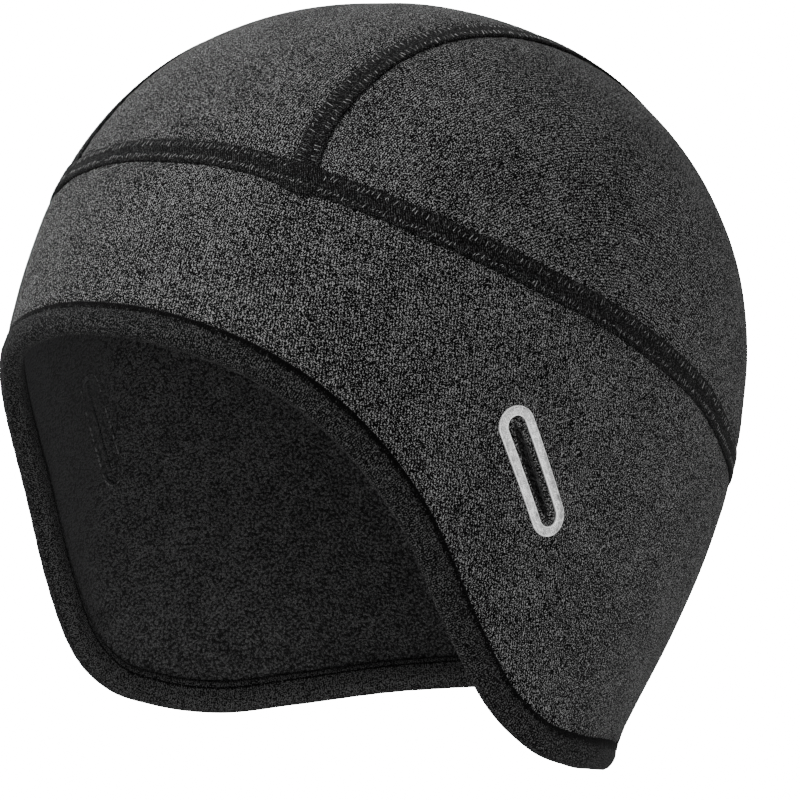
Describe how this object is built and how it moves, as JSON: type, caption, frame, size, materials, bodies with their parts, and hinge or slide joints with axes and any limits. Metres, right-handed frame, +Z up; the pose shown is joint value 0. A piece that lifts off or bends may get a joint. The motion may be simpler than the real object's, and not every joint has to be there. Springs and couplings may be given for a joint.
{
  "type": "helmet liner cap",
  "caption": "Close-fitting fleece-lined knit skull cap with ear flaps, nape cover, flat seams, bound edge and a reflective-edged glasses slot at each temple.",
  "frame": {"origin": "highest point of the wearer's head, on the inner face of the lining", "axes": "+Z up as worn, the wearer faces -Y, the wearer's left is +X"},
  "size_m": [0.1658, 0.1986, 0.1858],
  "materials": {
    "heather_jersey": "charcoal heather knit, matt, slightly fuzzy",
    "seam_thread": "black flat seam covered in thread, with two rows of small stitches",
    "binding_knit": "near black fine rib knit, folded over the edge",
    "fleece": "black brushed fleece with a small pebbled nap",
    "reflective_film": "silver grey reflective film, fine grained, with brighter rims"
  },
  "bodies": {
    "root": {"crown_centre": "heather_jersey", "crown_side_left": "heather_jersey", "crown_side_right": "heather_jersey", "side_band": "heather_jersey", "fleece_lining": "fleece", "ring_seam_strip": "seam_thread", "crown_seam_strip_left": "seam_thread", "crown_seam_strip_right": "seam_thread", "edge_binding": "binding_knit", "slot_loop_left": "reflective_film", "slot_loop_right": "reflective_film"}
  },
  "joints": []
}
